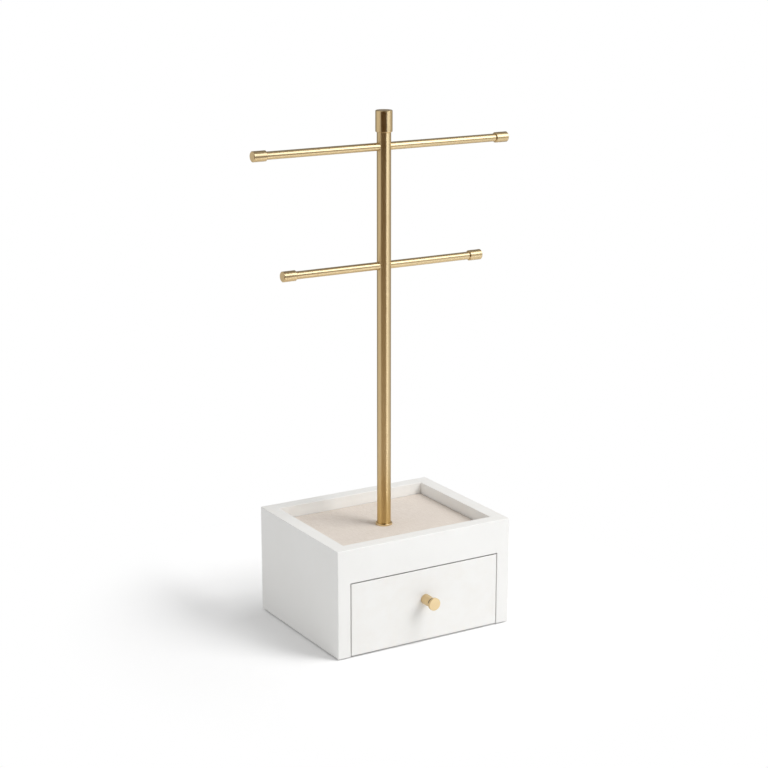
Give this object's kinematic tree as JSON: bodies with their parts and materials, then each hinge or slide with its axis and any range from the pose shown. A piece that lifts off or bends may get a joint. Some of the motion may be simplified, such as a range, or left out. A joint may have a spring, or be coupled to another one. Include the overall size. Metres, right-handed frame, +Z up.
{
  "type": "jewelry stand",
  "caption": "White lacquered case with a linen tray and a pull-out drawer, and a brass post that carries two cross bars for hanging necklaces.",
  "frame": {"origin": "on the table surface under the middle of the case, on the axis of the post", "axes": "+Z up; -Y is the drawer side (front); +X to the right seen from the front, along the cross bars"},
  "size_m": [0.2592, 0.1616, 0.4709],
  "materials": {
    "lacquer": "satin white lacquer on fine fibreboard",
    "inner_board": "bare fine fibreboard",
    "drawer_board": "thin white paint on board",
    "card": "grey board",
    "linen": "plain-woven natural linen",
    "drawer_felt": "short-pile felt",
    "base_felt": "pressed wool felt",
    "beech": "bare beech",
    "brass": "satin brass, clear lacquered",
    "steel": "bright zinc-plated"
  },
  "bodies": {
    "case": {"left_side_panel": "lacquer", "right_side_panel": "lacquer", "front_rail": "lacquer", "back_panel": "lacquer", "case_floor": "inner_board", "base_felt": "base_felt", "tray_deck": "inner_board", "tray_card": "card", "tray_linen": "linen", "case_dowels": "beech", "post_tube": "brass", "post_cap": "brass", "post_base_ring": "brass", "post_plug": "steel", "post_washer": "steel", "post_bolt": "steel", "upper_bar": "brass", "upper_left_end_cap": "brass", "upper_right_end_cap": "brass", "lower_bar": "brass", "lower_left_end_cap": "brass", "lower_right_end_cap": "brass"},
    "drawer": {"drawer_front": "lacquer", "drawer_left_side": "drawer_board", "drawer_right_side": "drawer_board", "drawer_back": "drawer_board", "drawer_bottom": "drawer_board", "drawer_felt": "drawer_felt", "drawer_dowels": "beech", "drawer_knob": "brass", "knob_screw": "steel"}
  },
  "joints": [
    {"name": "drawer_slide", "type": "slide", "parent": "case", "child": "drawer", "axis": [0, -1, 0], "range_m": [0, 0.095]}
  ]
}
